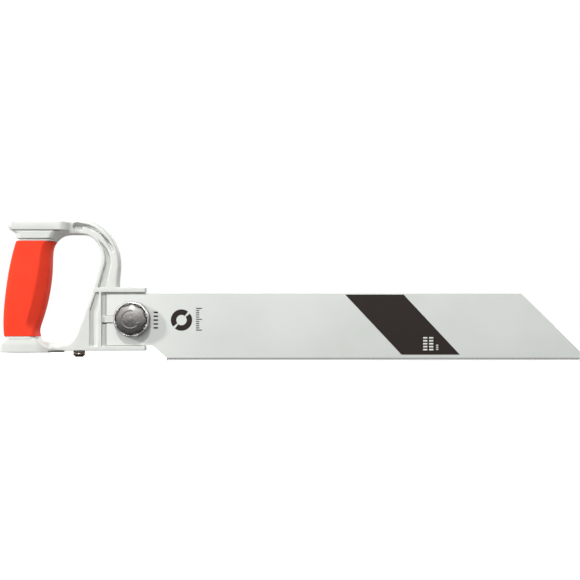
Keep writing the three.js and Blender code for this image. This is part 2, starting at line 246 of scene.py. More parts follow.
class Clay:
    """A distance field on a grid in millimetres. Shapes are added and cut with filleted joins."""

    def __init__(self, low, high, margin, step):
        around = Vector((margin, margin, margin))
        low, high = low - around, high + around
        self.low = np.array(low, float)
        self.step = step
        counts = [int(math.ceil((b - a) / step)) + 1 for a, b in zip(low, high)]
        self.axes = [a + step * np.arange(n) for a, n in zip(self.low, counts)]
        self.field = np.full(counts, FAR, np.float32)

    def work(self, box, shape):
        """The part of the field in a box, and the shape's field there."""
        low, high = box or zip(*((axis[0], axis[-1]) for axis in self.axes))
        slices = []
        for axis, a, b in zip(self.axes, low, high):
            start, stop = np.searchsorted(axis, (a, b))
            slices.append(slice(max(start - 1, 0), stop + 1))
        x, y, z = (axis[s] for axis, s in zip(self.axes, slices))
        grid = np.meshgrid(x, y, z, indexing="ij", sparse=True)
        return tuple(slices), shape(*grid).astype(np.float32)

    def add(self, shape, blend, box=None):
        part, other = self.work(box, shape)
        self.field[part] = smooth_min(self.field[part], other, blend)

    def cut(self, shape, blend, box=None):
        part, other = self.work(box, shape)
        self.field[part] = -smooth_min(-self.field[part], other, blend)

    def sample(self, places):
        """The field between grid points, for places given in grid steps."""
        limit = np.array(self.field.shape) - 2
        corner = np.clip(np.floor(places).astype(int), 0, limit)
        share = np.clip(places - corner, 0, 1)
        total = 0
        for bits in np.ndindex(2, 2, 2):
            weight = 1
            for axis, bit in enumerate(bits):
                weight = weight * (share[:, axis] if bit else 1 - share[:, axis])
            total = total + weight * self.field[tuple((corner + bits).T)]
        return total

    def mesh(self, name, adaptivity):
        """The field's surface, with normals taken from the field so that it shades smoothly."""
        band = np.clip(self.field / self.step, -3, 3).astype(np.float32)
        volume = openvdb.FloatGrid(3.0)
        volume.copyFromArray(band)
        points, triangles, quads = volume.convertToPolygons(0.0, adaptivity)
        faces = quads.tolist() + triangles.tolist()
        mesh = mesh_of(name, self.low + points * self.step, faces)
        places = points.astype(float)
        slopes = [self.sample(places + offset) - self.sample(places - offset)
                  for offset in np.eye(3) * NORMAL_REACH]
        normals = np.stack(slopes, axis=1)
        normals /= np.maximum(np.linalg.norm(normals, axis=1, keepdims=True), 1e-6)
        if len(mesh.vertices) == len(points):
            mesh.normals_split_custom_set_from_vertices(normals.tolist())
        return mesh


# ---- outline helpers


def arc(cx, cz, rx, rz, start, stop, steps=24):
    return [(cx + rx * math.cos(a), cz + rz * math.sin(a))
            for a in np.radians(np.linspace(start, stop, steps + 1))]


def bend(start, control, stop, steps=12):
    """A quadratic curve."""
    a, b, c = (np.array(p, float) for p in (start, control, stop))
    ts = np.linspace(0, 1, steps + 1)
    return [tuple((1 - t) ** 2 * a + 2 * t * (1 - t) * b + t * t * c) for t in ts]


def through(points, steps=8):
    """A smooth curve through a few points."""
    p = [np.array(q, float) for q in points]
    p = [2 * p[0] - p[1]] + p + [2 * p[-1] - p[-2]]
    out = []
    for a, b, c, d in zip(p, p[1:], p[2:], p[3:]):
        for t in np.linspace(0, 1, steps, endpoint=False):
            out.append(tuple(0.5 * (2 * b + (c - a) * t + (2 * a - 5 * b + 4 * c - d) * t * t
                                    + (3 * b - a - 3 * c + d) * t ** 3)))
    out.append(tuple(p[-2]))
    return out


# ---- handle casting

END_DRAFT = 0.05
CAP_END = -68
SOLE_END = -89.4
SCOOP_X, SCOOP_Z, SCOOP_R = -84, -9, 21.6
FOOT_HALF = 14
KEY_LOW, KEY_TOP = -3.3, 3.9
HOLE_R = 4.1
ARM_CENTRE = (-57.0, 60.0)
ARM_REACH = (43.4, CASTING_TOP - 60.0)
STRIP_TOP = -24.9


def inner_edge():
    """The edge of the hand opening, from the foot up to the collar."""
    points = [(-104, -19)] + bend((-101.8, -20.4), (-99, STRIP_TOP), (-91, STRIP_TOP))
    points += bend((-74, STRIP_TOP), (-65, STRIP_TOP + 0.3), (-59, -11.4))
    points += bend((-59, -11.4), (-46.2, 17), (-38.3, 50))
    points += bend((-38.3, 50), (-34.1, 63), (-34.1, 70.2))
    points += arc(-54.9, 70.2, 20.8, 22, 0, 90, 30)
    return points + bend((-68, 92.2), (-77, 91.6), (-84, 87))


def outer_edge():
    """The outside of the arm, from the cap down to below the top flange."""
    points = arc(*ARM_CENTRE, *ARM_REACH, 90, 0, 40)
    points += bend((-13.6, 56), (-14.7, 49), (-15, TOP_FLANGE[1]))
    return points + [(-16, 10)]


def arm_outline():
    inner = [p for p in inner_edge() if p[1] > 10]
    return [(-100, CASTING_TOP)] + outer_edge() + [(-50.4, 10)] + inner + [(-100, 88.5)]


def outside_of_arm():
    """A wide outline whose only nearby edge is the outside of the arm."""
    return [(-300, CASTING_TOP)] + outer_edge() + [(-40, -200), (-300, -200)]


def base_outline():
    """The flanges round the blade's seat, the gusset and the strip under the hand."""
    points = [(FLANGE_END, TOP_FLANGE[1]), (FLANGE_END, STRIP_BOTTOM), (-104, STRIP_BOTTOM)]
    return points + [p for p in inner_edge() if p[1] < TOP_FLANGE[1]] + [(-41.6, TOP_FLANGE[1])]


def upper_recess():
    points = through([(-19.4, 74), (-24.8, 84.6), (-39.9, 99.4), (-59.4, 105.0)])
    points += arc(-59.6, 100.6, 4.4, 4.4, 90, 270, 12)
    inner = through([(-53.0, 100.7), (-35.6, 93.2), (-25.5, 79.6), (-21.8, 73)])
    return points + [(-54.2, 96.3), (-53.0, 100.7)] + inner


def lower_recess():
    foot = TOP_FLANGE[1]
    inner = [(-37, 86.6), (-31.4, 76.2), (-29.1, 65.7), (-32.4, 51.7), (-37.2, foot)]
    outer = [(-28.4, foot), (-24.8, 51.7), (-22.8, 62.5), (-27.6, 77), (-37, 86.6)]
    return through(inner) + through(outer)


def pocket():
    low, high = BOTTOM_FLANGE[1], TOP_FLANGE[0]
    return [(POCKET_LEFT, low), (RIB_LEFT, low), (RIB_LEFT, 8), (RIB_LEFT + 2, 11.5),
            (RIB_LEFT + 2, high), (-39.4, high), (POCKET_LEFT, 10.3)]


def casting_field(step):
    clay = Clay(CASTING_LOW, CASTING_HIGH, 2, step)
    everywhere = (CASTING_LOW, CASTING_HIGH)
    x_axis, z_axis = clay.axes[0], clay.axes[2]

    def flat(points):
        """A flat field for an outline, worked out once on the whole grid's X and Z."""
        return outline_distance(points, x_axis[:, None], z_axis[None, :])

    def part_of(field, x, z):
        i = np.searchsorted(x_axis, x.ravel()[0] - 1e-6)
        k = np.searchsorted(z_axis, z.ravel()[0] - 1e-6)
        return field[i:i + x.size, None, k:k + z.size]

    arm, outside, base = flat(arm_outline()), flat(outside_of_arm()), flat(base_outline())
    opening = flat(inner_edge())

    def opening_rim(x, y, z):
        """Rounds the edges of the hand opening, most of all along the strip under the hand."""
        wide = np.clip((-54 - x) / 14, 0, 1) * np.clip((0 - z) / 12, 0, 1)
        return thick(-part_of(opening, x, z), y, FRONT, BACK, 2.0 + 3.0 * wide)

    def arm_shape(x, y, z):
        plain = thick(part_of(arm, x, z), y, FRONT, BACK, 1.2)
        rounded = thick(part_of(outside, x, z), y, FRONT, BACK, ARM_ROUNDING)
        return np.maximum(np.maximum(plain, rounded), opening_rim(x, y, z))

    def base_shape(x, y, z):
        slab = thick(part_of(base, x, z), y, FRONT, BACK, 0.9)
        drafted_end = x + END_DRAFT * (y - FRONT) - FLANGE_END
        return np.maximum(np.maximum(slab, drafted_end), opening_rim(x, y, z))

    clay.add(arm_shape, 0, everywhere)
    clay.add(base_shape, 0.5, everywhere)

    # Cap, collar and lip over the grip. Cap and collar each flow into the arm, with a sharp line
    # between them.
    def cap(x, y, z):
        heights = [96.2, 99.4, CASTING_TOP]
        rear, front, wide = [-130.1, -131.8, -131.8], [CAP_END] * 3, [14.6, 15, 15]
        rounded = [80] + heights[1:]
        low_end = column(x, y, z, heights, rear, front, wide, 5, 0.5)
        crown = column(x, y, z, rounded, rear, front, wide, 5, 4.4)
        narrow_x = CAP_END + (x - CAP_END) * 0.8
        neck = column(narrow_x, y, z, rounded, [-170] * 3, front, wide, 8, 4.4)
        fall = z - CASTING_TOP + 0.2 * np.clip(x + 85, 0, 17)
        return np.maximum(np.maximum(low_end, crown), np.maximum(neck, fall + 0 * y))

    def collar(x, y, z):
        heights = [87.1, 93, 95.2, 95.5, 99]
        rear = [-123.6, -125, -128.6, -127.2, -127.2]
        front = [-83.5, -80, -78.5, -79.5, -78]
        return column(x, y, z, heights, rear, front, [13.5, 13.9, 14.1, 11.4, 11.4], 7, 0.6)

    def stub(x, y, z):
        """The arm with its top cut off, so that what flows into it doesn't bulge on top."""
        return np.maximum(arm_shape(x, y, z), z - (CASTING_TOP - 5))

    def upper_lip(x, y, z):
        lip = column(x, y, z, [84.45, 85.75], [-124.1] * 2, [-83.3] * 2, [13.6] * 2, 8, 0.4)
        neck = column(x, y, z, [84.6, 88], [-120.8] * 2, [-86.2] * 2, [9] * 2, 6, 0.3)
        return np.minimum(lip, neck)

    def post(x, y, z):
        heights = [SOLE + 2, -18, 7, 46, 76, 100]
        rear = [-132.7, -132.7, -133.4, -128.6, -121.9, -119.5]
        front = [-105.4, -105.4, -101, -93.4, -91.9, -88]
        return column(x, y, z, heights, rear, front, [9.2, 9.2, 10.1, 10.3, 9.7, 9.4], 7, 1)

    head = ((-145, -26, 82), (-56, 9, 111))
    for end, blend in ((cap, 5), (collar, 7)):
        clay.add(lambda x, y, z: smooth_min(stub(x, y, z), end(x, y, z), blend), 0, head)
    clay.add(post, 0.4, ((-145, -26, SOLE), (-80, 9, 102)))
    clay.add(upper_lip, 0.3, head)

    # Foot and lip under the grip. A scoop runs down to the toe, which narrows into the strip.
    def foot(x, y, z):
        heights = [SOLE, -26.4, -20.6]
        rear = [CASTING_LOW.x, CASTING_LOW.x + 0.3, CASTING_LOW.x + 5.2]
        plain = column(x, y, z, heights, rear, [-60] * 3, [FOOT_HALF, FOOT_HALF, 13.2], 5, 0.7)
        narrowing = 0.5 - 0.5 * np.cos(math.pi * np.clip((x + 103) / 31, 0, 1))
        toe = (np.abs(y - MIDDLE) - FOOT_HALF + 8.5 * narrowing) * 0.93
        past_sole = np.minimum(x - SOLE_END, STRIP_BOTTOM - z)
        scoop = np.hypot(x - SCOOP_X, z - SCOOP_Z) - SCOOP_R + 0 * y
        fading = 0.45 * np.maximum(x + 86, 0)
        return fading - smooth_min(-np.maximum(np.maximum(plain, toe), past_sole), scoop, 1.6)

    def lower_lip(x, y, z):
        return column(x, y, z, [-21, -18.25], [-137] * 2, [-101.3] * 2, [13.6] * 2, 8, 0.6)

    low_end = ((-145, -26, -40), (-66, 9, -15))
    clay.add(foot, 6, low_end)
    clay.add(lower_lip, 0.8, low_end)
    clay.cut(lambda x, y, z: np.maximum(SOLE_END - x, z - STRIP_BOTTOM) + 0 * y, 0, low_end)

    # Blade seat, open at the tip end, and the same space behind the web.
    seat_box = ((-36, -20, -32), (20, 3, 32))

    def seat(y0, y1):
        return block((RIB_RIGHT, y0, BOTTOM_FLANGE[1]), (FLANGE_END + 9, y1, TOP_FLANGE[0]), 0.4)

    clay.cut(seat(FRONT - 8, SEAT), 0.4, seat_box)
    clay.cut(seat(SEAT_REAR, BACK + 8), 0.6, seat_box)

    # Deep pocket left of the rib, and the two recesses in the arm, on both sides of their webs.
    # On the knob's side the floors of the recesses rise towards their tips.
    def recess(points, y0, y1):
        field = flat(points)
        return lambda x, y, z: thick(part_of(field, x, z), y, y0, y1, 0.5)

    pocket_box = ((-50, -20, -32), (-32, 3, 33))
    clay.cut(recess(pocket(), FRONT - 8, FRONT + POCKET_DEPTH), 0.5, pocket_box)
    clay.cut(recess(pocket(), SEAT_REAR, BACK + 8), 0.8, pocket_box)
    back_core = [(-48.2, 8), (-48.2, -14), (-54.2, -14)]
    core_box = ((-62, -15, -18), (-45, 3, 18))
    clay.cut(recess(back_core, -10, BACK + 8), 0.8, core_box)
    arm_box = ((-68, -20, 32), (-10, 3, 110))
    for outline, tip, slope in ((upper_recess(), -86, 0.2), (lower_recess(), 70, 0.24)):
        field = flat(outline)

        def shallowing(x, y, z):
            rise = slope * np.maximum(z * math.copysign(1, tip) - tip, 0)
            return thick(part_of(field, x, z), y, FRONT - 8, CORE - ARM_WEB / 2 - rise, 0.8)

        clay.cut(shallowing, 0.7, arm_box)
        clay.cut(recess(outline, CORE + ARM_WEB / 2, BACK + 8), 0.7, arm_box)

    # Step behind the blade's tail, the key in its slot, and the ribs behind the web.
    seat_low, seat_high = BOTTOM_FLANGE[1] - 1, TOP_FLANGE[0] + 1
    ledge = block((RIB_RIGHT - 1, BLADE_FRONT + 0.4, seat_low), (-29.2, SEAT + 1, seat_high), 0.4)
    clay.add(ledge, 0.5, seat_box)
    key = block((RIB_RIGHT - 1, BLADE_FRONT - 1, KEY_LOW), (-17, SEAT + 1, KEY_TOP), 0.4)
    under_key = block((RIB_RIGHT, BLADE_FRONT - 2, KEY_LOW - 1.5), (-15, SEAT + 2.6, KEY_LOW), 0.2)
    clay.add(key, 0.5, seat_box)
    clay.cut(under_key, 0, seat_box)
    for z in (-8, 8):
        rib = block((RIB_RIGHT - 1, SEAT_REAR - 1, z - 1.25), (-9.5, -2, z + 1.25), 0.6)
        clay.add(rib, 1.2, seat_box)

    # Holes for the stud, its collar and the screw.
    def screw_hole(x, y, z):
        return np.maximum(np.hypot(x - SCREW_X, y - CORE) - HOLE_R, z - (STRIP_BOTTOM + 14.5))

    clay.cut(lambda x, y, z: np.hypot(x, z) - HOLE_R + 0 * y, 0, seat_box)
    clay.cut(lambda x, y, z: np.maximum(np.hypot(x, z) - 6.6, y - (SEAT + 1.55)), 0, seat_box)
    clay.cut(screw_hole, 0.4, ((-64, -16, -36), (-50, 0, -17)))
    return clay


def make_casting(material):
    mesh = casting_field(0.44).mesh("casting", 0.01)
    link("casting", mesh, material, "frame", "handle_frame")


# ---- materials


def map_range(nodes, links, value, *numbers):
    """Carries a value from one range (low, high) over to another."""
    node = nodes.new("ShaderNodeMapRange")
    for key, number in zip(("From Min", "From Max", "To Min", "To Max"), numbers):
        node.inputs[key].default_value = number
    links.new(value, node.inputs["Value"])
    return node.outputs["Result"]


class Look:
    """A node material built a step at a time. Textures follow the object's own metres."""

    def __init__(self, name, **settings):
        self.material = bpy.data.materials.new(name)
        self.material.use_nodes = True
        self.nodes = self.material.node_tree.nodes
        self.links = self.material.node_tree.links
        self.shader = self.nodes["Principled BSDF"]
        self.place = self.nodes.new("ShaderNodeTexCoord").outputs["Object"]
        for key, value in settings.items():
            self.shader.inputs[key.replace("_", " ")].default_value = value

    def stretched(self, scale):
        mapping = self.nodes.new("ShaderNodeMapping")
        mapping.inputs["Scale"].default_value = scale
        self.links.new(self.place, mapping.inputs["Vector"])
        return mapping.outputs["Vector"]

    def noise(self, scale, detail=3.0, rough=0.55, place=None):
        node = self.nodes.new("ShaderNodeTexNoise")
        node.inputs["Scale"].default_value = scale
        node.inputs["Detail"].default_value = detail
        node.inputs["Roughness"].default_value = rough
        self.links.new(place or self.place, node.inputs["Vector"])
        return node.outputs["Fac"]

    def ramp(self, value, low, high, out_low, out_high):
        return map_range(self.nodes, self.links, value, low, high, out_low, out_high)

    def mix(self, factor, a, b):
        node = self.nodes.new("ShaderNodeMix")
        node.data_type = "RGBA"
        self.feed(factor, node.inputs["Factor"])
        self.feed(a, node.inputs[6])
        self.feed(b, node.inputs[7])
        return node.outputs[2]

    def add(self, a, b, operation="ADD"):
        node = self.nodes.new("ShaderNodeMath")
        node.operation = operation
        self.feed(a, node.inputs[0])
        self.feed(b, node.inputs[1])
        return node.outputs[0]

    def feed(self, value, socket):
        if isinstance(value, bpy.types.NodeSocket):
            self.links.new(value, socket)
        else:
            socket.default_value = value

    def into(self, key, value):
        self.feed(value, self.shader.inputs[key])

    def colour(self, factor, dark, light):
        self.into("Base Color", self.mix(factor, srgb(*dark), srgb(*light)))

    def roughness(self, value, low, high):
        self.into("Roughness", self.ramp(value, 0.3, 0.7, low, high))

    def bump(self, height, distance):
        node = self.nodes.new("ShaderNodeBump")
        node.inputs["Distance"].default_value = distance
        self.links.new(height, node.inputs["Height"])
        self.links.new(node.outputs["Normal"], self.shader.inputs["Normal"])


def srgb(red, green, blue):
    """A colour given as it looks on screen, 0 to 255, as Blender's linear colour."""
    values = [c / 255 for c in (red, green, blue)]
    return tuple(v / 12.92 if v <= 0.04045 else ((v + 0.055) / 1.055) ** 2.4 for v in values) + (1,)


def powder_coat():
    look = Look("powder_coat", Roughness=0.45)
    tone = look.ramp(look.noise(28, 2), 0.35, 0.65, 0, 1)
    look.colour(tone, (212, 214, 209), (219, 221, 216))
    peel = look.noise(900, 2)
    look.roughness(look.noise(350, 2), 0.38, 0.52)
    look.bump(peel, 0.00006)
    return look.material


def grip_rubber():
    look = Look("grip_rubber", Roughness=0.62, Specular_IOR_Level=0.3)
    tone = look.ramp(look.noise(60, 3), 0.3, 0.7, 0, 1)
    look.colour(tone, (242, 60, 32), (250, 66, 38))
    grain = look.noise(2600, 2)
    look.roughness(look.noise(500, 3), 0.55, 0.72)
    look.bump(grain, 0.00005)
    return look.material


def blade_steel():
    look = Look("blade_steel", Metallic=0.25, Roughness=0.5)
    grain = look.noise(1, 4, 0.7, look.stretched((60, 900, 2600)))
    cloud = look.noise(9, 3)
    tone = look.ramp(look.add(look.add(grain, 0.25, "MULTIPLY"), cloud), 0.45, 0.8, 0, 1)
    # Painted light: the steel grows lighter towards the tang, standing in for the stronger light
    # and reflection there.
    along = look.nodes.new("ShaderNodeSeparateXYZ")
    look.links.new(look.place, along.inputs[0])
    painted_light_near_tang = look.ramp(along.outputs["X"], -0.02, 0.09, 1, 0)
    plain = look.mix(tone, srgb(204, 208, 203), srgb(213, 216, 212))
    look.into("Base Color", look.mix(painted_light_near_tang, plain, srgb(224, 227, 222)))
    look.roughness(grain, 0.4, 0.52)
    look.bump(grain, 0.00001)
    return look.material


def zinc_casting():
    look = Look("zinc_casting", Metallic=0.85, Roughness=0.42)
    cloud = look.noise(420, 4, 0.6)
    look.colour(cloud, (86, 84, 82), (156, 154, 151))
    look.roughness(look.noise(900, 3), 0.36, 0.52)
    look.bump(cloud, 0.0002)
    return look.material


def plain_metal(name, dark, light, roughness):
    look = Look(name, Metallic=1.0, Roughness=roughness)
    cloud = look.noise(700, 4, 0.6)
    look.colour(cloud, dark, light)
    look.roughness(cloud, roughness - 0.08, roughness + 0.1)
    look.bump(cloud, 0.00003)
    return look.material


def printed_ink(name, colour):
    look = Look(name, Roughness=0.55, Specular_IOR_Level=0.25)
    cloud = look.noise(300, 4)
    darker = tuple(max(c - 5, 0) for c in colour)
    look.colour(cloud, darker, colour)
    look.bump(look.noise(2500, 2), 0.00001)
    return look.material


def dull_solid(name, dark, light, scale):
    look = Look(name, Roughness=0.75)
    cloud = look.noise(scale, 4)
    look.colour(cloud, dark, light)
    look.bump(cloud, 0.00005)
    return look.material


# ---- grip

GRIP_LEVELS = (0.0, 0.012, 0.04, 0.075, 0.12, 0.2, 0.34, 0.5, 0.66, 0.8, 0.9, 0.955, 0.985, 1.0)
GRIP_TABLE = (
    # height, rear edge, edge on the finger side, half depth
    (-18.1, -137.4, -101.5, 13.9),
    (-15.0, -137.7, -102.8, 14.0),
    (-11.0, -138.0, -102.6, 14.2),
    (-2.0, -138.1, -99.9, 14.6),
    (7.0, -138.0, -95.9, 14.8),
    (24.5, -136.4, -91.9, 15.0),
    (46.0, -133.5, -88.4, 15.0),
    (63.0, -130.2, -88.1, 14.8),
    (74.0, -127.4, -87.7, 14.4),
    (80.6, -125.6, -86.0, 14.2),
    (84.3, -124.4, -83.2, 14.1),
)


def grip_edges(level):
    """Height, rear, front and half depth at a level from 0 (bottom) to 1 (top)."""
    height = GRIP_LOW.z + level * (GRIP_HIGH.z - GRIP_LOW.z)
    heights, *columns = zip(*GRIP_TABLE)
    return [height] + [float(np.interp(height, heights, values)) for values in columns]


def grip_section(level):
    """Half of the grip's section, from the rear to the finger side, in shares of its size.

    The finger side is hollowed by a facet, which fades out towards the bottom.
    """
    facet = 0.34 + 0.24 * level
    bite = min(max((level - 0.035) / 0.1, 0), 1)
    side = [(-1.0, -0.42), (-0.97, -0.78), (-0.86, -0.95), (-0.64, -1.0), (-0.1, -1.0)]
    plain = [(0.5, -1.0), (0.64, -1.0), (0.78, -0.98), (0.9, -0.92), (0.97, -0.74), (1.0, -0.36)]
    cut = [(facet - 0.05, -1.0), (facet + 0.04, -0.975), (facet + 0.16, -0.87), (0.87, -0.68),
           (0.97, -0.54), (1.0, -0.3)]
    return side + [(u + (p - u) * bite, v + (q - v) * bite) for (u, v), (p, q) in zip(plain, cut)]


def make_grip(material):
    rings = []
    for level in GRIP_LEVELS:
        height, rear, front, half = grip_edges(level)
        side = grip_section(level)
        section = side + [(u, -v) for u, v in reversed(side)]
        middle, reach = (rear + front) / 2, (front - rear) / 2
        rings.append([(middle + reach * u, MIDDLE + half * v, height) for u, v in section])
    count = len(rings[0])

    def inward(ring, share, height):
        centre = np.mean(ring, axis=0)
        return [(centre[0] + (x - centre[0]) * share, MIDDLE + (y - MIDDLE) * share, height)
                for x, y, _ in ring]

    low, high = GRIP_LOW.z, GRIP_HIGH.z
    stack = [inward(rings[0], 0.72, low), inward(rings[0], 0.955, low)] + rings
    stack += [inward(rings[-1], 0.955, high), inward(rings[-1], 0.72, high)]
    points = [p for ring in stack for p in ring]
    faces = grid_faces(len(stack), count)
    last = count * (len(stack) - 1)
    faces += [(last + i, last + (i + 1) % count, (i + 1) % count, i) for i in range(count)]
    mesh = mesh_of("grip", points, faces)
    weld(mesh)
    grip = link("grip", mesh, material, "frame", "rubber_grip")
    smooth = grip.modifiers.new("smooth", "SUBSURF")
    smooth.levels = smooth.render_levels = 3


# ---- blade

TOOTHED = 450
TEETH = 159
TOOTHED_START = BLADE_HIGH.x - TOOTHED
PITCH = TOOTHED / TEETH
TIPS = BLADE_LOW.z
GULLETS = TIPS + 2.7
GROUND_TOP = TIPS + 3.5
HEEL = 21.9
SLOT_HALF = 4.25
TOP_CORNER = BLADE_HIGH.x - 65.7
POINT_TOP = TIPS + 8.7
TOOTH_SET = 0.25
BLADE_EDGE = 0.12


def inset(points, distance):
    """A closed outline moved to its left by a distance, corner by corner."""
    moved = []
    count = len(points)
    for i in range(count):
        before, here, after = (Vector(points[(i + k) % count]) for k in (-1, 0, 1))
        a, b = (here - before).normalized(), (after - here).normalized()
        normal_a, normal_b = Vector((-a.y, a.x)), Vector((-b.y, b.x))
        across = (normal_a + normal_b).normalized()
        moved.append(tuple(here + across * (distance / max(across.dot(normal_a), 0.4))))
    return moved


def blade_outline():
    """Anticlockwise seen from the knob side with X right and Z up, without the teeth."""
    rear, top, low = BLADE_LOW.x, BLADE_HIGH.z, -BLADE_HIGH.z
    points = [(rear, low), (HEEL, low)]
    for i in range(TEETH):
        points += [(TOOTHED_START + (i + share) * PITCH, GROUND_TOP) for share in (-0.1, 0.25)]
    points += [(BLADE_HIGH.x, GROUND_TOP), (BLADE_HIGH.x, POINT_TOP), (TOP_CORNER, top)]
    points += [(rear, top), (rear, SLOT_HALF)] + arc(0, 0, SLOT_HALF, SLOT_HALF, 90, -90, 20)
    return points + [(rear, -SLOT_HALF)]


def make_blade(material, ground_shade):
    outline = blade_outline()
    count = len(outline)
    front, back = BLADE_FRONT, BLADE_BACK
    first_root, last_root = 2, 2 + 2 * TEETH
    inner = inset(outline, BLADE_EDGE)
    for i in range(first_root, last_root + 1):
        inner[i] = outline[i]
    points, faces = [], []
    for flat, y in ((inner, front), (outline, front + BLADE_EDGE), (outline, back - BLADE_EDGE),
                    (inner, back)):
        for i, (x, z) in enumerate(flat):
            rooted = first_root <= i <= last_root
            points.append((x, (front if y < (front + back) / 2 else back) if rooted else y, z))
    faces += [range(count), reversed(range(3 * count, 4 * count))]
    for level in range(3):
        for i in range(count):
            if first_root <= i < last_root:
                continue
            a, b = level * count + i, level * count + (i + 1) % count
            faces.append((a, a + count, b + count, b))

    # Each tooth hangs between two root points, and a third between them ends its ground bevel.
    def corner(x, y, z):
        points.append((x, y, z))
        return len(points) - 1

    previous = None
    for i in range(TEETH):
        root, middle, next_root = (first_root + 2 * i + k for k in range(3))
        side = TOOTH_SET if i % 2 else -TOOTH_SET
        x = TOOTHED_START + i * PITCH
        tip_front, tip_back = corner(x, front + side, TIPS), corner(x, back + side, TIPS)
        gx, y0, y1, gz = x + 0.82 * PITCH, back - 0.3, back - 0.05, GULLETS
        if i == TEETH - 1:
            gx, y0, y1, gz = BLADE_HIGH.x, front + 0.2, back, TIPS + 0.3
        gullet_front, gullet_back = corner(gx, y0, gz), corner(gx, y1, gz)
        back_root, back_middle, back_next = (3 * count + k for k in (root, middle, next_root))
        if previous is None:
            faces.append((root, back_root, tip_back, tip_front))
        else:
            faces += [(root, previous[0], tip_front), (back_root, tip_back, previous[1]),
                      (*previous, tip_back, tip_front)]
        faces += [(root, tip_front, middle), (middle, tip_front, gullet_front)]
        faces += [(middle, gullet_front, next_root), (back_root, back_middle, tip_back)]
        faces += [(back_middle, gullet_back, tip_back), (back_middle, back_next, gullet_back)]
        faces.append((tip_front, tip_back, gullet_back, gullet_front))
        previous = (gullet_front, gullet_back)
    faces.append((last_root, *previous, 3 * count + last_root))
    mesh = mesh_of("blade", points, faces, smooth=False)
    weld(mesh, 1e-9)
    mark_sharp(mesh, 25)
    link("blade", mesh, material, "blade", "saw_blade")
    mesh.materials.append(ground_shade)
    # Painted shade: tooth facets below the ground line that face down or towards the point get the
    # darker steel, over the real ground bevels.
    for face in mesh.polygons:
        faces_from_light = face.normal.x > 0.3 or face.normal.z < -0.2
        if face.center.z < GROUND_TOP * MM and faces_from_light and face.normal.y < 0.5:
            face.material_index = 1


# ---- prints on the blade

INK = 0.03


def make_print(name, outlines, material, height=INK):
    """Closed slabs of ink lying on the blade's knob side."""
    points, faces = [], []
    for outline in outlines:
        first, count = len(points), len(outline)
        for y in (BLADE_FRONT - height, BLADE_FRONT + INK / 2):
            points += [(x, y, z) for x, z in outline]
        faces += [range(first, first + count), reversed(range(first + count, first + 2 * count))]
        for i in range(count):
            a, b = first + i, first + (i + 1) % count
            faces.append((a, a + count, b + count, b))
    mesh = mesh_of(name, points, faces, smooth=False)
    weld(mesh, 1e-9)
    link(name, mesh, material, "blade")


def bar(x0, x1, z0, z1):
    return [(x0, z0), (x1, z0), (x1, z1), (x0, z1)]


def ring_sector(cx, cz, inner, outer, start, stop):
    outside = arc(cx, cz, outer, outer, start, stop, 24)
    return outside + arc(cx, cz, inner, inner, stop, start, 24)


def make_prints(dark, light):
    # A slanted panel across the blade, with light marks at its foot.
    panel_top, panel_low = 27.1, -38.2
    shift = (panel_top - panel_low) * 0.937
    left, width = TOP_CORNER - 191.1, 63.4
    panel = [(left, panel_top), (left + shift, panel_low), (left + width + shift, panel_low),
             (left + width, panel_top)]
    make_print("blade_panel", [panel], dark)
    marks = [bar(x, x + 4.5, z, z + 1.6) for x in (315.0, 321.5)
             for z in (-33.4, -30.2, -27.0, -23.8, -20.6)]
    marks += [bar(329.0, 331.4, z, z + 1.0) for z in (-32.8, -30.6, -28.4)]
    make_print("blade_panel_marks", marks, light, 2 * INK)

    # A pipe's end with a cut across it, a scale, and a short row of marks by the knob.
    cx, cz = 53.1, -0.6
    sign = [ring_sector(cx, cz, 5.6, 11.6, start, start + 166) for start in (52, 232)]
    make_print("blade_sign", sign, dark)
    scale = [bar(68.8, 72.4 if i % 5 else 75.3, -12 + i * 2.35, -10.9 + i * 2.35)
             for i in range(11)]
    make_print("blade_scale", scale, dark)
    ticks = [bar(22.8, 27.6, -9.9 + i * 4.2, -8.2 + i * 4.2) for i in range(5)]
    make_print("blade_ticks", ticks, dark)


# ---- knob

LOBES = 8
LOBE_STEP = 2 * math.pi / LOBES
LOBE_TURN = math.radians(-96)
KNOB_R = 19.7
KNOB_FACE, KNOB_FOOT = KNOB_LOW.y, KNOB_HIGH.y
RING_FACE = KNOB_FACE + 5.6
RIM_R = 16.9
# Depth of the rim's front that is painted lighter as a highlight.
HIGHLIGHT_DEPTH = 2.5
DOME = 0.0145
EMBLEM_HEIGHT = 0.45
ARROW_R = 9.6
ARROW_START, ARROW_SWEEP = math.radians(75), math.radians(250)


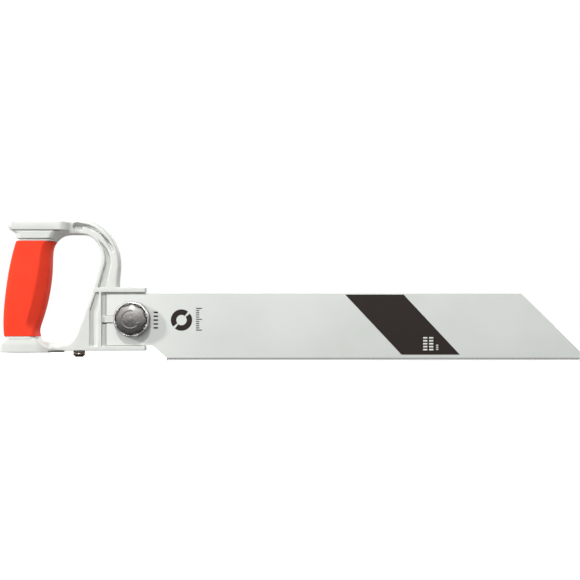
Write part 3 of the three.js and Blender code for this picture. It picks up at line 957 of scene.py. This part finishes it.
def knob_field(step):
    clay = Clay(KNOB_LOW, KNOB_HIGH, 1.5, step)

    def polar(x, z):
        return np.hypot(x, z), np.arctan2(z, x)

    def under_face(r, y):
        """Depth behind the domed face."""
        return y - (KNOB_FACE + DOME * r * r)

    def between_lobes(r, angle, half, middle, reach):
        """A flat field of small blocks, one in the middle of each gap between two lobes."""
        turn = (angle - LOBE_TURN) % LOBE_STEP - LOBE_STEP / 2
        return np.maximum(np.abs(turn) * r - half, np.abs(r - middle) - reach)

    def skirt(x, y, z):
        r, angle = polar(x, z)
        wave = 0.3 * np.cos(LOBES * (angle - LOBE_TURN))
        flare = np.clip((y - RING_FACE) * 0.08, 0, 0.8)
        wall = thick(r - (KNOB_R - 0.8 - wave) - flare, y, RING_FACE + 0.4, KNOB_FOOT, 0.55)
        bead = np.hypot(r - (KNOB_R - 1.9 - wave), y - RING_FACE - 1.1) - 1.1
        return np.minimum(wall, bead)

    def crown(x, y, z):
        r, angle = polar(x, z)
        edge = 15.8 + 0.55 * np.tanh(3 * np.cos(LOBES * (angle - LOBE_TURN)))
        side = thick(r - edge + (RING_FACE - y) * 0.08, y, KNOB_FACE - 6, KNOB_FOOT - 3, 0.5)
        return -smooth_min(-side, under_face(r, y), 1.6)

    def moat(x, y, z):
        lane = np.abs(np.hypot(x, z) - 16.0) - 1.25
        return np.maximum(np.maximum(lane, y - RING_FACE - 4.5), RING_FACE - 8 - y)

    def pad(x, y, z):
        flat = between_lobes(*polar(x, z), 2.5, 17.1, 1.5)
        return thick(flat, y, RING_FACE - 0.5, KNOB_FOOT - 2, 0.35)

    def slot(x, y, z):
        flat = between_lobes(*polar(x, z), 1.4, 17.0, 0.5)
        return thick(flat, y, RING_FACE - 6, RING_FACE + 1.2, 0.3)

    def bore(x, y, z):
        r = np.hypot(x, z)
        wide = np.maximum(r - 14.2, KNOB_FOOT - 1.05 - y)
        narrow = np.maximum(r - 7.55, KNOB_FOOT - 9.95 - y)
        return np.minimum(wide, narrow)

    def emblem(x, y, z):
        """A curved arrow round the face and a boss at its middle."""
        r, angle = polar(x, z)
        depth = under_face(r, y)
        turn = (angle - ARROW_START) % (2 * math.pi)
        past_end = np.maximum(turn - ARROW_SWEEP, 0) * r
        tail = np.maximum(np.abs(r - ARROW_R) - 0.75, past_end)
        cos, sin = math.cos(ARROW_START + ARROW_SWEEP), math.sin(ARROW_START + ARROW_SWEEP)
        px, pz = x - ARROW_R * cos, z - ARROW_R * sin
        ahead, aside = -px * sin + pz * cos, px * cos + pz * sin
        head = np.maximum(-ahead - 0.2, np.abs(aside) + 0.62 * ahead - 2.3)
        marks = np.minimum(np.minimum(tail, head), r - 2.6)
        return np.maximum(marks, np.maximum(-EMBLEM_HEIGHT - depth, depth - 1))

    clay.add(skirt, 0)
    clay.cut(moat, 0.3)
    clay.add(crown, 0.35)
    clay.add(pad, 0.5)
    clay.cut(slot, 0.35)
    clay.add(emblem, 0.2)
    clay.cut(bore, 0)
    return clay


def make_knob(material, rim_highlight_material):
    """The rim in front of the skirt gets a lighter zinc as a painted highlight, and the rest keeps
    its cast skin.
    """
    mesh = knob_field(0.17).mesh("knob", 0.01)
    # Painted highlight: faces on the rim's front get the lighter material.
    for face in mesh.polygons:
        x, y, z = face.center / MM
        if math.hypot(x, z) > RIM_R and y < RING_FACE + HIGHLIGHT_DEPTH:
            face.material_index = 1
    link("knob", mesh, material, "knob", "clamp_knob")
    mesh.materials.append(rim_highlight_material)


# ---- turned and threaded pieces

WASHER_BORE = 4.25
THREAD_PITCH = 1.25
THREAD_DEPTH = 0.55
STUD_R = 4.0
NUT_FLATS = 13


def threaded(outer, start, stop, sign=1):
    """A radius that follows a thread between two heights, full size outside them."""

    def radius_at(radius, height, angle):
        if abs(radius - outer) > 1e-6 or not start < height < stop:
            return radius
        phase = (height / THREAD_PITCH + sign * angle / (2 * math.pi)) % 1
        fade = min(1, (height - start) / 0.8, (stop - height) / 0.8)
        return radius - THREAD_DEPTH * fade * (0.5 - 0.5 * math.cos(2 * math.pi * phase))

    return radius_at


def rows(radius, start, stop, spacing=0.2):
    count = max(int(abs(stop - start) / spacing), 1)
    return [(radius, start + (stop - start) * i / count) for i in range(count + 1)]


def hexagon_radius(flats, angle):
    return flats / 2 / math.cos((angle + math.pi / 6) % (math.pi / 3) - math.pi / 6)


def upright(mesh, x, y):
    """Turns a piece made about the Y axis to stand on a vertical axis."""
    turn = Matrix.Rotation(math.pi / 2, 4, "X")
    mesh.transform(Matrix.Translation(Vector((x, y, 0)) * MM) @ turn)


def make_stud(material):
    rear, front = STUD_HIGH.y, STUD_LOW.y
    collar_front, collar_back = SEAT, SEAT + 1.5
    profile = [(0, front), (STUD_R - 1.0, front), (STUD_R - 0.3, front + 0.6)]
    profile += rows(STUD_R, front + 0.9, collar_front - 0.1)
    profile += [(STUD_R, collar_front), (6.3, collar_front), (6.5, collar_front + 0.2),
                (6.5, collar_back - 0.2), (6.3, collar_back), (STUD_R, collar_back)]
    profile += rows(STUD_R, collar_back + 0.1, rear - 0.5)
    profile += [(STUD_R - 0.5, rear - 0.05), (STUD_R - 0.7, rear), (1.2, rear), (1.0, rear - 0.5),
                (0, rear - 0.8)]
    front_thread = threaded(STUD_R, front + 0.9, collar_front - 0.6)
    rear_thread = threaded(STUD_R, collar_back + 0.5, rear - 0.2)

    def radius_at(radius, y, angle):
        return min(front_thread(radius, y, angle), rear_thread(radius, y, angle))

    mesh = turned("stud", profile, 40, 72, radius_at)
    link("stud", mesh, material, "frame", "clamp_stud")


def make_nut(material):
    front, back = NUT_LOW.y, NUT_HIGH.y
    outer = rows(20, front, back, 0.12)
    profile = [(STUD_R + 0.7, front), (6.0, front)] + outer + [(6.0, back), (STUD_R + 0.7, back)]
    profile += [(STUD_R + 0.05, back - 0.6), (STUD_R + 0.05, front + 0.6), (STUD_R + 0.7, front)]

    def radius_at(radius, y, angle):
        if radius < 10:
            return radius
        depth = min(y - front, back - y)
        return min(hexagon_radius(NUT_FLATS, angle), 6.25 + depth * 1.8)

    mesh = turned("nut", profile, 28, 96, radius_at)
    link("nut", mesh, material, "frame", "stud_lock_nut")


def make_washer(name, node, body, edge, material, grooves=0):
    low, high = box_mm(node)
    inner, outer, front, back = WASHER_BORE, high.x, low.y, high.y
    profile = [(inner, back - edge), (inner, front + edge), (inner + edge, front)]
    for i in range(grooves):
        at = inner + (outer - inner) * (i + 1) / (grooves + 1)
        profile += [(at - 0.3, front), (at, front + 0.12), (at + 0.3, front)]
    small = edge * 0.3
    profile += [(outer - edge, front), (outer - small, front + small), (outer, front + edge)]
    profile += [(outer, back - edge), (outer - small, back - small), (outer - edge, back)]
    profile += [(inner + edge, back), (inner, back - edge)]
    mesh = turned(name, profile, 50)
    link(name, mesh, material, body, node)


def make_insert(material):
    low, high = box_mm("knob_insert")
    front, back, outer = low.y, high.y, high.x
    bore = rows(STUD_R + 0.1, back - 0.5, front + 0.5)
    profile = [(STUD_R + 0.6, back)] + bore + [(STUD_R + 0.6, front), (outer - 0.4, front)]
    profile += [(outer, front + 0.4)] + rows(outer, front + 0.8, back - 0.8, 0.35)
    profile += [(outer, back - 0.4), (outer - 0.4, back), (STUD_R + 0.6, back)]
    thread = threaded(STUD_R + 0.1, front + 0.5, back - 0.5)

    def radius_at(radius, y, angle):
        if abs(radius - outer) < 1e-6 and front + 0.6 < y < back - 0.6:
            return radius - 0.2 * (0.5 + 0.5 * math.cos(30 * angle))
        return 2 * radius - thread(radius, y, angle)

    mesh = turned("insert", profile, 40, 120, radius_at)
    link("insert", mesh, material, "knob", "knob_insert")


KNURLS = 22
SOCKET_FLATS = 5
SOCKET = 100  # stands for the socket's radius in the profile, where radius_at puts the hexagon


def make_screw(material):
    low, high = SCREW_LOW.z, SCREW_HIGH.z
    seat = WASHER_LOW.z - 0.05
    socket = 2.4
    radius = SCREW_HIGH.x - SCREW_X
    neck = radius - 1.0
    profile = [(0, low + socket + 0.7), (SOCKET * 0.6, low + socket), (SOCKET, low + socket)]
    profile += [(SOCKET, low + 0.35), (SOCKET * 1.1, low), (radius * 0.62, low)]
    profile += [(radius * math.sin(a), low + 3.4 - 3.2 * math.cos(a))
                for a in np.radians([52, 62, 72, 82, 90])]
    profile += [(radius, seat - 1.3), (neck, seat - 0.2), (neck, seat), (STUD_R, seat)]
    profile += rows(STUD_R, seat + 0.6, high - 0.9) + [(STUD_R - 0.8, high), (0, high)]
    thread = threaded(STUD_R, seat + 1.5, high - 0.9)

    def radius_at(r, height, angle):
        if r >= SOCKET * 0.5:
            return hexagon_radius(SOCKET_FLATS, angle) * r / SOCKET
        if abs(r - radius) < 1e-6:
            return r - 0.35 * (0.5 + 0.5 * math.cos(KNURLS * angle))
        return thread(r, height, angle)

    mesh = turned("screw", profile, 35, 8 * KNURLS, radius_at)
    upright(mesh, SCREW_X, CORE)
    link("screw", mesh, material, "frame", "base_screw")


def make_spring_washer(material):
    """A split ring of square wire whose ends stand slightly apart."""
    low, high = WASHER_LOW.z, WASHER_HIGH.z
    outer = WASHER_HIGH.x - SCREW_X
    inner = STUD_R + 0.25
    gap = 0.6 / ((outer + inner) / 2)
    steps, edge, spread = 96, 0.25, 0.24
    thickness = high - low - spread
    section = [(inner, edge), (inner + edge, 0), (outer - edge, 0), (outer, edge),
               (outer, thickness - edge), (outer - edge, thickness), (inner + edge, thickness),
               (inner, thickness - edge)]
    points = []
    for i in range(steps + 1):
        share = i / steps
        angle = -math.pi / 2 + gap + (2 * math.pi - 2 * gap) * share
        rise = low + spread * share
        points += [(r * math.cos(angle), r * math.sin(angle), rise + h) for r, h in section]
    count = len(section)
    faces = grid_faces(steps + 1, count)
    faces += [range(count), reversed(range(steps * count, (steps + 1) * count))]
    mesh = mesh_of("spring_washer", points, faces)
    mesh.transform(Matrix.Translation(Vector((SCREW_X, CORE, 0)) * MM))
    weld(mesh, 1e-9)
    mark_sharp(mesh, 30)
    link("spring_washer", mesh, material, "frame", "base_screw_washer")


def make_rest_pad(material):
    """A dark strip with rounded edges and grooves across its foot."""
    low, high = PAD_LOW + Vector((2, 0, 0)), PAD_HIGH - Vector((1.2, 0, 0))

    def groove(at):
        return lambda x, y, z: np.hypot(x - at, z - low.z + 0.15) - 0.7 + 0 * y

    clay = Clay(low, high, 1, 0.2)
    clay.add(block(low, high, 0.6), 0)
    for i in range(1, 5):
        clay.cut(groove(low.x + (high.x - low.x) * i / 5), 0.2)
    mesh = clay.mesh("rest_pad_strip", 0.02)
    link("rest_pad_strip", mesh, material, "frame", "rest_pad")


# ---- stage


def make_camera():
    """A level view from the knob side."""
    width, distance, rise = 628.7, 935.0, 38.0
    camera = new_object("camera", bpy.data.cameras.new("camera"))
    camera.data.sensor_width = 36
    camera.data.lens = 36 * distance / width
    camera.location = Vector((170.7, BLADE_FRONT - distance, -6.0)) * MM
    camera.rotation_euler = (math.pi / 2, 0, 0)
    camera.data.shift_y = rise / width
    camera.data.clip_start = 0.01
    bpy.context.scene.camera = camera


LIT_PLACE = Vector((0.15, -0.01, 0.02))


def area_light(name, offset, size, power, sheen=True):
    light = bpy.data.lights.new(name, "AREA")
    light.size = size
    light.energy = power
    lamp = new_object(name, light)
    lamp.location = LIT_PLACE + Vector(offset)
    lamp.rotation_mode = "QUATERNION"
    lamp.rotation_quaternion = (-Vector(offset)).to_track_quat("-Z", "Y")
    lamp.visible_glossy = sheen
    lamp.visible_camera = False


# Strength of the light from low and from high, for matte and for shiny surfaces.
SKY = (0.06, 0.34)
SHEEN = (0.0, 2.2)


def make_world():
    """White to the camera. For everything else, soft light that grows with height."""
    world = bpy.data.worlds.new("studio")
    bpy.context.scene.world = world
    world.use_nodes = True
    nodes, links = world.node_tree.nodes, world.node_tree.links
    background = nodes["Background"]
    path = nodes.new("ShaderNodeLightPath")
    place = nodes.new("ShaderNodeTexCoord")
    split = nodes.new("ShaderNodeSeparateXYZ")
    links.new(place.outputs["Generated"], split.inputs["Vector"])

    def rise(*numbers):
        return map_range(nodes, links, split.outputs["Z"], *numbers)

    soft = nodes.new("ShaderNodeMix")
    links.new(path.outputs["Is Glossy Ray"], soft.inputs["Factor"])
    links.new(rise(-0.8, 0.8, *SKY), soft.inputs["A"])
    links.new(rise(-0.5, 0.5, *SHEEN), soft.inputs["B"])
    level = nodes.new("ShaderNodeMix")
    links.new(path.outputs["Is Camera Ray"], level.inputs["Factor"])
    links.new(soft.outputs["Result"], level.inputs["A"])
    level.inputs["B"].default_value = 1.0
    links.new(level.outputs["Result"], background.inputs["Strength"])
    background.inputs["Color"].default_value = (1, 1, 1, 1)


def make_floor():
    """A pale plane under the teeth, dark to shiny surfaces and clear from below."""
    reach = 40000
    corners = bar(-reach, reach, -reach, reach)
    mesh = mesh_of("floor", [(x, y, BLADE_LOW.z) for x, y in corners], [range(4)], False)
    floor = new_object("floor", mesh)
    look = Look("floor_paint", Roughness=0.9)
    path = look.nodes.new("ShaderNodeLightPath")
    shiny = path.outputs["Is Glossy Ray"]
    look.colour(shiny, (140, 140, 140), (20, 20, 20))
    look.into("Emission Color", (1, 1, 1, 1))
    look.into("Emission Strength", look.ramp(path.outputs["Is Camera Ray"], 0, 1, 0.05, 0.86))
    geometry = look.nodes.new("ShaderNodeNewGeometry")
    clear = look.nodes.new("ShaderNodeBsdfTransparent")
    choose = look.nodes.new("ShaderNodeMixShader")
    look.links.new(geometry.outputs["Backfacing"], choose.inputs[0])
    look.links.new(look.shader.outputs[0], choose.inputs[1])
    look.links.new(clear.outputs[0], choose.inputs[2])
    look.links.new(choose.outputs[0], look.nodes["Material Output"].inputs["Surface"])
    mesh.materials.append(look.material)


# ---- build

make_casting(powder_coat())
make_grip(grip_rubber())
plate = plain_metal("zinc_plate", (150, 150, 148), (205, 205, 202), 0.3)
black = plain_metal("black_steel", (84, 74, 68), (160, 150, 142), 0.2)
fibre = dull_solid("fibre", (110, 40, 30), (140, 56, 42), 900)
# The teeth's ground facets get a darker steel as painted shade.
make_blade(blade_steel(), plain_metal("ground_steel_painted_shade", (122, 121, 119), (150, 149, 146), 0.4))
make_prints(printed_ink("dark_ink", (36, 29, 25)), printed_ink("light_ink", (225, 226, 222)))
# The knob's rim gets a lighter zinc as a painted highlight.
make_knob(zinc_casting(), plain_metal("zinc_painted_highlight", (172, 171, 168), (226, 225, 222), 0.34))
make_insert(plate)
make_stud(plate)
make_nut(plate)
make_washer("lock_washer", "stud_lock_washer", "frame", 0.25, plate)
make_washer("fibre_disc", "fibre_washer", "washers", 0.2, fibre)
make_washer("pressure_disc", "pressure_washer", "washers", 0.25, plate, 3)
make_screw(black)
make_spring_washer(black)
make_rest_pad(dull_solid("dark_pad", (62, 54, 50), (82, 73, 68), 700))

make_world()
make_floor()
make_camera()
area_light("key", (-3.5, -1.76, 1.48), 0.32, 138, sheen=False)
area_light("top", (-0.26, -1.41, 1.41), 0.18, 23)
area_light("back", (0.9, 1.4, 1.1), 0.8, 12)
bpy.context.scene.view_settings.view_transform = "Standard"
